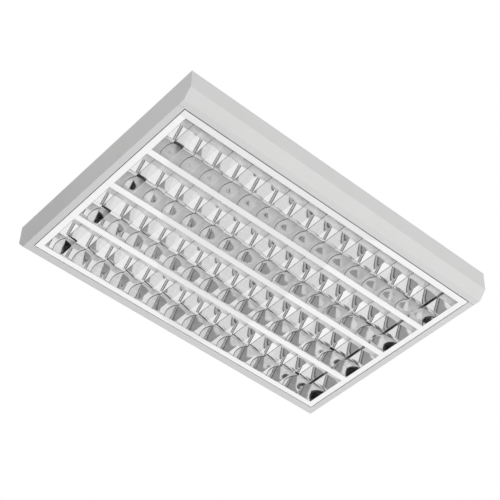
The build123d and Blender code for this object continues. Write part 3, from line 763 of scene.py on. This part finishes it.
@dataclass
class MirrorLouvre:
    """The swinging louvre: long bars, dividers, end frames and cross blades.

    Attributes:
        sizes: Sizes shared by the pieces of the louvre.
        body: CAD body that the louvre moves with.
        blade_low: Height of the blades' lower edge over the louvre plane.
        blade_low_half: Half width of a blade at its lower edge.
        blade_top_half: Half width of a blade at its top.
        blade_sheet: Thickness of the blade strip.
        blade_rim: Height of the upright rim at the top of a blade.
        blade_bow: Power of a blade's flank.
        blade_slit: Least half width of the hollow in a blade.
        blade_solid: Steps along a flank, from the lower edge, before the hollow starts.
        blade_sharp: Angle in degrees over which an edge of a blade stays sharp.
        seam: Gap between pieces that butt.
        tab_margin: How far a clinch tab stays inside the edges of the end bar.
        tab_half: Half length of a clinch tab.
        curve_steps: Points along the mirror curve of a bar or divider.
        short_steps: Points along an end mirror or a blade's flank.
        bend_steps: Points along a bend of the long bars.
        end_bend_steps: Points along the outer bend of the end bars.
        bar_stations: Stations along a bar or divider.
        cross_stations: Stations across a channel.
    """

    sizes: LouvreSizes = field(default_factory=LouvreSizes)
    body: str = "louvre"
    blade_low: float = 0.005
    blade_low_half: float = 0.00025
    blade_top_half: float = 0.0034
    blade_sheet: float = 0.0004
    blade_rim: float = 0.002
    blade_bow: float = 1.5
    blade_slit: float = 0.00002
    blade_solid: int = 4
    blade_sharp: float = 20.0
    seam: float = 0.00005
    tab_margin: float = 0.0025
    tab_half: float = 0.011
    curve_steps: int = 28
    short_steps: int = 14
    bend_steps: int = 7
    end_bend_steps: int = 5
    bar_stations: int = 5
    cross_stations: int = 3

    def _mirror_curve(self, foot: float, lean: float, steps: Optional[int] = None) -> Array:
        """Mirror curve from the louvre plane up.

        Formula: across = foot + lean t^bow, z = plane + height t, with t from 0 to 1.

        Args:
            foot: Place of the curve at the louvre plane.
            lean: How far it moves sideways by its top.
            steps: Points along the curve, or curve_steps if it isn't given.

        Returns:
            Array of (across, z) points.
        """
        s = self.sizes
        t = np.linspace(0.0, 1.0, steps or self.curve_steps)
        return np.column_stack([foot + lean * t**s.bow, s.plane + s.height * t])

    def _run(self, heap: ShapeHeap, profile: Array, reach: float) -> None:
        """Carry a closed (y, z) profile along X from -reach to reach."""
        heap.prism(profile, np.linspace(-reach, reach, self.bar_stations), along_x)

    def _cross(self, heap: ShapeHeap, profile: Array, centre: float) -> None:
        """Carry a closed (x, z) profile across a channel, from mirror to mirror.

        Formula: y = centre + u w(z), where u runs from -1 to 1 and w is the half width between the
        mirrors at height z, less the gap.

        Args:
            heap: Takes the shape.
            profile: Outline, one row per point.
            centre: Y of the channel centre.
        """
        s = self.sizes
        t = (profile[:, 1] - s.plane) / s.height
        half = s.channel / 2 - s.cross_gap - s.inset * np.clip(t, 0.0, 1.0) ** s.bow
        stations = np.linspace(-1.0, 1.0, self.cross_stations)
        heap.add(np.stack([along_y(profile, centre + u * half) for u in stations]))

    def long_bar(self, side: Side) -> bpy.types.Object:
        """Long frame bar with its outer fold, flaps and outer mirror.

        Args:
            side: Near or far long side.

        Returns:
            The piece.
        """
        s, sign = self.sizes, side.value
        low, top = s.plane, s.plane + s.fold
        outer, inner = sign * s.reach_y, sign * s.inner_y
        bend = (sign * (s.reach_y - s.corner), low + s.corner)
        first, last = (0.0, -90.0) if side is Side.PLUS else (180.0, 270.0)
        strip = np.vstack(
            [
                [[outer, top]],
                corner_points(bend, s.corner, first, last, self.bend_steps),
                [[inner, low], [inner, low + s.sheet]],
                corner_points(bend, s.corner - s.sheet, last, first, self.bend_steps),
                [[outer - sign * s.sheet, top]],
            ]
        )
        face = self._mirror_curve(inner, -sign * s.inset)
        back = self._mirror_curve(inner + sign * s.sheet, -sign * s.inset)[::-1]
        # The back of the mirror stands on the sheet of the bar
        back[-1, 1] += s.sheet
        flap = np.array(
            [
                [inner + sign * s.sheet, low + s.sheet],
                [outer - sign * s.corner, low + s.sheet],
                [outer - sign * s.sheet, low + s.corner],
                [outer - sign * s.sheet, top],
                [inner + sign * s.sheet, top],
            ]
        )
        heap = ShapeHeap()
        self._run(heap, strip, s.reach_x)
        self._run(heap, np.vstack([face, back]), s.inner_x - self.seam)
        for end in Side:
            heap.prism(flap, [end.value * (s.reach_x - s.sheet), end.value * s.reach_x], along_x)
        return heap.piece(f"long_bar_{side.long_side}")

    def divider(self, number: int) -> bpy.types.Object:
        """Divider trough with its flat bottom and two mirror curves.

        Args:
            number: Divider number, from 1 at the near side.

        Returns:
            The piece.
        """
        s = self.sizes
        y = s.divider_centres[number - 1]
        half, t = s.divider / 2, s.sheet
        right = self._mirror_curve(y + half, s.inset)
        left = self._mirror_curve(y - half, -s.inset)
        right_in = self._mirror_curve(y + half - t, s.inset)
        left_in = self._mirror_curve(y - half + t, -s.inset)
        # Inside, both curves stand on the sheet of the bottom
        right_in[0, 1] += t
        left_in[0, 1] += t
        heap = ShapeHeap()
        profile = np.vstack([right, right_in[::-1], left_in, left[::-1]])
        self._run(heap, profile, s.inner_x - self.seam)
        return heap.piece(f"divider_{number}")

    def end_frame(self, side: Side) -> bpy.types.Object:
        """End bar with its outer fold, a leaning mirror for each channel and two clinch tabs.

        Args:
            side: Left or right end.

        Returns:
            The piece.
        """
        s, sign = self.sizes, side.value
        low, t = s.plane, s.sheet
        bend = (sign * (s.reach_x - s.end_corner), low + s.end_corner)
        first, last = (-90.0, 0.0) if side is Side.PLUS else (270.0, 180.0)
        bar = np.vstack(
            [
                [[sign * s.inner_x, low + t], [sign * s.inner_x, low]],
                corner_points(bend, s.end_corner, first, last, self.end_bend_steps),
                [[sign * s.reach_x, low + s.fold], [sign * (s.reach_x - t), low + s.fold]],
                corner_points(bend, s.end_corner - t, last, first, self.end_bend_steps - 1),
            ]
        )
        face = self._mirror_curve(sign * s.inner_x, -sign * s.end_lean, self.short_steps)
        back = self._mirror_curve(sign * (s.inner_x + t), -sign * s.end_lean, self.short_steps)[::-1]
        tab = np.array([[s.inner_x + self.tab_margin, low + t], [s.reach_x - self.tab_margin, low + t]])
        tab = np.vstack([tab, tab[::-1] + [0.0, t]]) * [sign, 1.0]
        reach = s.inner_y - self.seam
        heap = ShapeHeap()
        heap.prism(bar, [-reach, reach], along_y)
        for centre in s.channel_centres:
            self._cross(heap, np.vstack([face, back]), centre)
        for way in Side:
            ends = [way.value * (s.inner_y - self.tab_half), way.value * (s.inner_y + self.tab_half)]
            heap.prism(tab, ends, along_y)
        return heap.piece(f"end_frame_{side.end}")

    def _blade_piece(self, name: str, number: int, profiles: Sequence[Array]) -> bpy.types.Object:
        """The same shapes at every blade of a channel.

        Args:
            name: Start of the piece's name.
            number: Channel number, from 1 at the near side.
            profiles: Closed (x, z) outlines about the middle of a blade.

        Returns:
            The piece.
        """
        heap = ShapeHeap()
        centre = self.sizes.channel_centres[number - 1]
        for x in self.sizes.blade_places:
            for profile in profiles:
                self._cross(heap, profile + [x, 0.0], centre)
        return heap.piece(f"{name}_{number}", self.blade_sharp)

    def blade_row(self, number: int) -> bpy.types.Object:
        """V strips of all blades of one channel.

        Formula of a flank: x = low + (top - low) t^bow with t from the lower edge to the rim.

        Args:
            number: Channel number, from 1 at the near side.

        Returns:
            The piece.
        """
        s = self.sizes
        foot, rim = s.plane + self.blade_low, s.plane + s.height - self.blade_rim
        t = np.linspace(0.0, 1.0, self.short_steps)
        width = self.blade_low_half + (self.blade_top_half - self.blade_low_half) * t**self.blade_bow
        flank = np.column_stack([width, foot + (rim - foot) * t])
        inner = flank[self.blade_solid :].copy()
        inner[:, 0] = np.maximum(inner[:, 0] - self.blade_sheet, self.blade_slit)
        half = np.vstack([flank, inner[::-1]])
        return self._blade_piece("blade_row", number, [np.vstack([half, mirrored(half)])])

    def blade_rims(self, number: int) -> bpy.types.Object:
        """Upright rims on the two flanks of each blade, dark grey as painted shade.

        Args:
            number: Channel number, from 1 at the near side.

        Returns:
            The piece.
        """
        s = self.sizes
        low, top = s.plane + s.height - self.blade_rim + self.seam, s.plane + s.height
        out, into = self.blade_top_half, self.blade_top_half - self.blade_sheet
        rim = np.array([[out, low], [out, top], [into, top], [into, low]])
        return self._blade_piece("blade_rims", number, [rim, mirrored(rim)])

    def blade_webs(self, number: int) -> bpy.types.Object:
        """Pale strip that closes each blade between its flanks, with a faint glow of painted light.

        Args:
            number: Channel number, from 1 at the near side.

        Returns:
            The piece.
        """
        s = self.sizes
        high = s.plane + s.height - self.blade_rim - self.blade_sheet
        low = high - self.blade_sheet
        half = self.blade_top_half - 2.0 * self.blade_sheet
        strip = np.array([[half, low], [half, high], [-half, high], [-half, low]])
        return self._blade_piece("blade_webs", number, [strip])

    def build(self, dresser: Dresser) -> None:
        """Build and dress every piece of the louvre.

        Args:
            dresser: Gives the finishes.
        """

        def dress(piece: bpy.types.Object, node: str, part: str = "") -> None:
            """Dress a piece of the louvre that stands for one CAD node."""
            dresser.dress(piece, Slot.MIRROR, self.body, [node], part)

        for side in Side:
            dress(self.long_bar(side), f"side_reflector_{side.long_side}")
        for number in range(1, self.sizes.channels):
            dress(self.divider(number), f"divider_reflector_{number}")
        for side in Side:
            dress(self.end_frame(side), f"louvre_end_frame_{side.end}")
        for number in range(1, self.sizes.channels + 1):
            node = f"cross_blades_{number}"
            dress(self.blade_row(number), node)
            # The rims carry painted shade and the webs a painted glow.
            dress(self.blade_rims(number), node, "_painted_shade_rim")
            dress(self.blade_webs(number), node, "_painted_light_web")


@dataclass
class LampSet:
    """The opal tubes and the end caps of the lamps.

    Attributes:
        centres: Y of the lamp axes.
        axis: Height of the lamp axes.
        reach: Half length between the cap faces.
        tube: Outer radius of the tube.
        wall: Wall of the tube.
        tube_stations: Stations along a wall of the tube.
        tube_segments: Points on the circles of a tube.
        tube_sharp: Angle in degrees over which an edge of a tube stays sharp.
        cap: Radius of an end cap.
        cap_length: Length of an end cap.
        cap_depths: Places behind the cap face, along its rounded rim and its groove.
        cap_drops: How far the surface lies under the cap's radius at each of those places.
        cap_edge: Length of the rounded edge at the back of a cap.
        cap_edge_drop: How far that edge falls.
        cap_segments: Points on the circles of a cap.
        cap_sharp: Angle in degrees over which an edge of a cap stays sharp.
        pin: Radius of a contact pin.
        pin_pitch: Distance between the pins.
        pin_length: Length of the pins.
        pin_root: How deep a pin starts in its cap.
        pin_taper: Length of a pin's tapered tip.
        pin_tip: Radius of the tip as a share of the pin's.
        pin_segments: Points on the circles of a pin.
    """

    centres: list[float]
    axis: float = -0.012
    reach: float = 0.4245
    tube: float = 0.0078
    wall: float = 0.0007
    tube_stations: int = 9
    tube_segments: int = 64
    tube_sharp: float = 40.0
    cap: float = 0.008
    cap_length: float = 0.018
    cap_depths: tuple[float, ...] = (0.0, 0.0004, 0.0012, 0.0050, 0.0056, 0.0066, 0.0072)
    cap_drops: tuple[float, ...] = (0.0009, 0.0002, 0.0, 0.0, 0.0003, 0.0003, 0.0)
    cap_edge: float = 0.0008
    cap_edge_drop: float = 0.0001
    cap_segments: int = 48
    cap_sharp: float = 35.0
    pin: float = 0.001175
    pin_pitch: float = 0.00475
    pin_length: float = 0.006
    pin_root: float = 0.001
    pin_taper: float = 0.0006
    pin_tip: float = 0.55
    pin_segments: int = 20

    def diffuser(self, number: int) -> bpy.types.Object:
        """Opal tube with an outer and an inner wall.

        Formula: a closed profile of stations and radii, out along the outer wall and back along the
        inner one, turned about the lamp axis.

        Args:
            number: Lamp number, from 1 at the near side.

        Returns:
            The piece.
        """
        reach, count = self.reach - self.cap_length, self.tube_stations
        stations = np.concatenate([np.linspace(-reach, reach, count), np.linspace(reach, -reach, count)])
        radii = np.repeat([self.tube, self.tube - self.wall], count)
        points = turned(self.centres[number - 1], self.axis, stations, radii, self.tube_segments)
        faces = ring_faces(2 * count, self.tube_segments, looped=True)
        return new_piece(f"diffuser_{number}", points, faces, self.tube_sharp)

    def caps(self, number: int) -> bpy.types.Object:
        """Two end caps with rounded rims, a groove and two pins each.

        Args:
            number: Lamp number, from 1 at the near side.

        Returns:
            The piece.
        """
        y = self.centres[number - 1]
        depths = np.array([*self.cap_depths, self.cap_length - self.cap_edge, self.cap_length])
        radii = self.cap - np.array([*self.cap_drops, 0.0, self.cap_edge_drop])
        pin_places = np.array([-self.pin_root, self.pin_length - self.pin_taper, self.pin_length])
        pin_radii = np.array([self.pin, self.pin, self.pin * self.pin_tip])
        heap = ShapeHeap()
        for end in Side:
            stations = end.value * (self.reach - depths)
            heap.add(turned(y, self.axis, stations, radii, self.cap_segments))
            stations = end.value * (self.reach + pin_places)
            for way in Side:
                beside = y + way.value * self.pin_pitch / 2
                heap.add(turned(beside, self.axis, stations, pin_radii, self.pin_segments))
        return heap.piece(f"lamp_caps_{number}", self.cap_sharp)

    def build(self, dresser: Dresser) -> None:
        """Build and dress the lamps.

        Args:
            dresser: Gives the finishes.
        """
        for number in range(1, len(self.centres) + 1):
            body = f"lamp_{number}"
            dresser.dress(self.diffuser(number), Slot.DIFFUSER, body, [f"led_tube_{number}"])
            dresser.dress(self.caps(number), Slot.PLASTIC, body, [f"tube_caps_{number}"])


# Studio


@dataclass(frozen=True)
class SoftLamp:
    """Soft square lamp that faces the light, unseen by mirrors.

    Attributes:
        name: Name of the lamp.
        place: Where it stands.
        power: Power in watts.
        size: Side of the square in metres.
        aim: Point that it faces.
    """

    name: str
    place: Point
    power: float
    size: float = 1.6
    aim: Point = (0.0, 0.0, -0.04)

    def build(self) -> None:
        """Put the lamp in the scene."""
        data = bpy.data.lights.new(self.name, "AREA")
        data.shape = "SQUARE"
        data.size = self.size
        data.energy = self.power
        lamp = bpy.data.objects.new(self.name, data)
        lamp.location = self.place
        way = Vector(self.aim) - Vector(self.place)
        lamp.rotation_euler = way.to_track_quat("-Z", "Y").to_euler()
        lamp.visible_glossy = False
        bpy.context.scene.collection.objects.link(lamp)


@dataclass(frozen=True)
class Cloth:
    """Evenly lit cloth that hangs beside the light, unseen by the camera.

    Attributes:
        name: Name of the cloth.
        x: Place of the cloth along the light.
        y: First and last edge across the light.
        z: Lower and upper edge.
        tone: Darkest and lightest level of the weave.
        in_mirrors: Whether mirrors see it, or else matt surfaces only.
        weave: Cells per metre of the weave along X, Y and Z.
        lines: Points along each side of the cloth.
    """

    name: str
    x: float
    y: Span
    z: Span
    tone: Span
    in_mirrors: bool = True
    weave: Cells = even(3.0)
    lines: int = 9

    def build(self) -> None:
        """Hang the cloth in the scene.

        Formula: points (x, y, z) on a grid over the spans in Y and Z.
        """
        across, up = np.linspace(*self.y, self.lines), np.linspace(*self.z, self.lines)
        y, z = np.meshgrid(across, up, indexing="ij")
        cloth = open_sheet(self.name, np.stack([np.full_like(y, self.x), y, z], axis=-1))
        sheet = NodeSheet(bpy.data.materials.new(self.name))
        light = sheet.add("ShaderNodeEmission")
        sheet.join(sheet.mottle(self.weave, self.tone), light.inputs["Color"])
        sheet.join(light.outputs["Emission"], sheet.surface)
        cloth.data.materials.append(sheet.owner)
        cloth.visible_camera = False
        cloth.visible_glossy = self.in_mirrors
        cloth.visible_diffuse = not self.in_mirrors
        cloth.visible_shadow = False


@dataclass
class Studio:
    """Camera, white surroundings, pale floor, hanging cloths and soft lamps.

    Attributes:
        turn: Rotation of the camera as a rotation vector in image axes.
        place: Camera place in the light's own frame, in metres.
        focal: Focal length in pixels.
        image: Width in pixels of the frame that the focal length is for.
        sensor: Width of the camera's sensor in millimetres.
        sight: How far the camera sees.
        ambient: Level of the surroundings for matt surfaces.
        floor: Height of the floor.
        floor_reach: Half length and half width of the floor.
        floor_lines: Points along each side of the floor.
        floor_tone: Darkest and lightest level of the floor.
        floor_grain: Cells per metre of the floor's tone along X, Y and Z.
        floor_lift: Share of white that the camera sees on the floor.
        cloths: The hanging cloths.
        lamps: The soft lamps.
        mirror_bounces: Most reflections that a ray takes.
        matt_bounces: Most times that a ray leaves a matt surface.
    """

    turn: Point = (0.7619, -0.2603, 0.6918)
    place: Point = (-1.50355, -1.78562, -2.32013)
    focal: float = 1387.9
    image: float = 500.0
    sensor: float = 36.0
    sight: float = 50.0
    ambient: float = 0.62
    floor: float = -4.8
    floor_reach: float = 24.0
    floor_lines: int = 5
    floor_tone: Span = (0.86, 0.88)
    floor_grain: Cells = even(0.6)
    floor_lift: float = 0.4
    cloths: tuple[Cloth, ...] = (
        Cloth("grey_cloth", x=-1.25, y=(-2.3, 1.3), z=(-2.6, -1.0), tone=(0.34, 0.4)),
        Cloth("pale_cloth", x=0.62, y=(-2.3, 1.3), z=(-2.6, -0.8), tone=(0.88, 0.92)),
        Cloth("side_cloth", x=-0.95, y=(0.1, 1.0), z=(-0.7, 0.4), tone=(0.24, 0.28), in_mirrors=False),
    )
    lamps: tuple[SoftLamp, ...] = (
        SoftLamp("lamp_below", place=(0.4, -0.6, -2.3), power=14.0),
        SoftLamp("lamp_near", place=(0.3, -2.6, -1.0), power=10.0),
    )
    mirror_bounces: int = 24
    matt_bounces: int = 12

    def camera(self) -> None:
        """Place the camera as the photograph was taken.

        Formula: the rotation vector w gives R = I + sin a K + (1 - cos a) K^2, where a is the length
        of w and K the cross product matrix of its direction. Rows of R are image right, down and depth.
        """
        w = np.array(self.turn)
        angle = float(np.linalg.norm(w))
        k = w / angle
        cross = np.array([[0.0, -k[2], k[1]], [k[2], 0.0, -k[0]], [-k[1], k[0], 0.0]])
        right, down, depth = np.eye(3) + np.sin(angle) * cross + (1 - np.cos(angle)) * cross @ cross
        stand = np.eye(4)
        stand[:3] = np.column_stack([right, -down, -depth, self.place])
        data = bpy.data.cameras.new("photo_camera")
        data.sensor_width = self.sensor
        data.lens = self.focal / self.image * self.sensor
        data.clip_end = self.sight
        camera = bpy.data.objects.new("photo_camera", data)
        camera.matrix_world = Matrix(stand.tolist())
        bpy.context.scene.collection.objects.link(camera)
        bpy.context.scene.camera = camera

    def surroundings(self) -> None:
        """White for the camera and mirrors, a softer level for matt surfaces."""
        world = bpy.data.worlds.new("surroundings")
        bpy.context.scene.world = world
        sheet = NodeSheet(world, "ShaderNodeOutputWorld")
        path = sheet.add("ShaderNodeLightPath")
        seen = sheet.add("ShaderNodeMath", operation="MAXIMUM")
        sheet.join(path.outputs["Is Camera Ray"], seen.inputs[0])
        sheet.join(path.outputs["Is Glossy Ray"], seen.inputs[1])
        soft = sheet.add("ShaderNodeBackground", {"Color": WHITE, "Strength": self.ambient})
        white = sheet.add("ShaderNodeBackground", {"Color": WHITE})
        sheet.mix(seen.outputs[0], soft.outputs[0], white.outputs[0])

    def ground(self) -> None:
        """Pale floor far under the light, white in mirrors, a little lifted for the camera.

        Formula: points (x, y, floor) on a grid over the reach in X and Y. The share of white is the
        lift for a camera ray, 1 for a mirror's ray and 0 for any other.
        """
        grid = np.linspace(-self.floor_reach, self.floor_reach, self.floor_lines)
        x, y = np.meshgrid(grid, grid, indexing="ij")
        floor = open_sheet("floor", np.stack([x, y, np.full_like(x, self.floor)], axis=-1))
        sheet = NodeSheet(bpy.data.materials.new("pale_floor"))
        matt = sheet.add("ShaderNodeBsdfDiffuse")
        sheet.join(sheet.mottle(self.floor_grain, self.floor_tone), matt.inputs["Color"])
        white = sheet.add("ShaderNodeEmission", {"Color": WHITE})
        path = sheet.add("ShaderNodeLightPath")
        share = sheet.add("ShaderNodeMath", {1: self.floor_lift}, operation="MULTIPLY_ADD")
        sheet.join(path.outputs["Is Camera Ray"], share.inputs[0])
        sheet.join(path.outputs["Is Glossy Ray"], share.inputs[2])
        sheet.mix(share.outputs[0], matt.outputs[0], white.outputs[0])
        floor.data.materials.append(sheet.owner)

    def build(self) -> None:
        """Set up everything that isn't part of the light."""
        self.camera()
        self.surroundings()
        self.ground()
        for thing in (*self.cloths, *self.lamps):
            thing.build()
        scene = bpy.context.scene
        scene.cycles.max_bounces = self.mirror_bounces
        scene.cycles.glossy_bounces = self.mirror_bounces
        scene.cycles.diffuse_bounces = self.matt_bounces
        scene.view_settings.view_transform = "Standard"


def main() -> None:
    """Build the light in order: carried nodes, louvre, lamps, studio."""
    logging.basicConfig(level=logging.INFO, format="%(name)s: %(message)s")
    dresser = Dresser()
    for node in sorted(frame["nodes"]):
        dresser.carry(node)
    louvre = MirrorLouvre()
    louvre.build(dresser)
    LampSet(centres=louvre.sizes.channel_centres).build(dresser)
    Studio().build()
    LOG.info("%d new pieces", len(dresser.done))


if __name__ == "__main__":
    main()
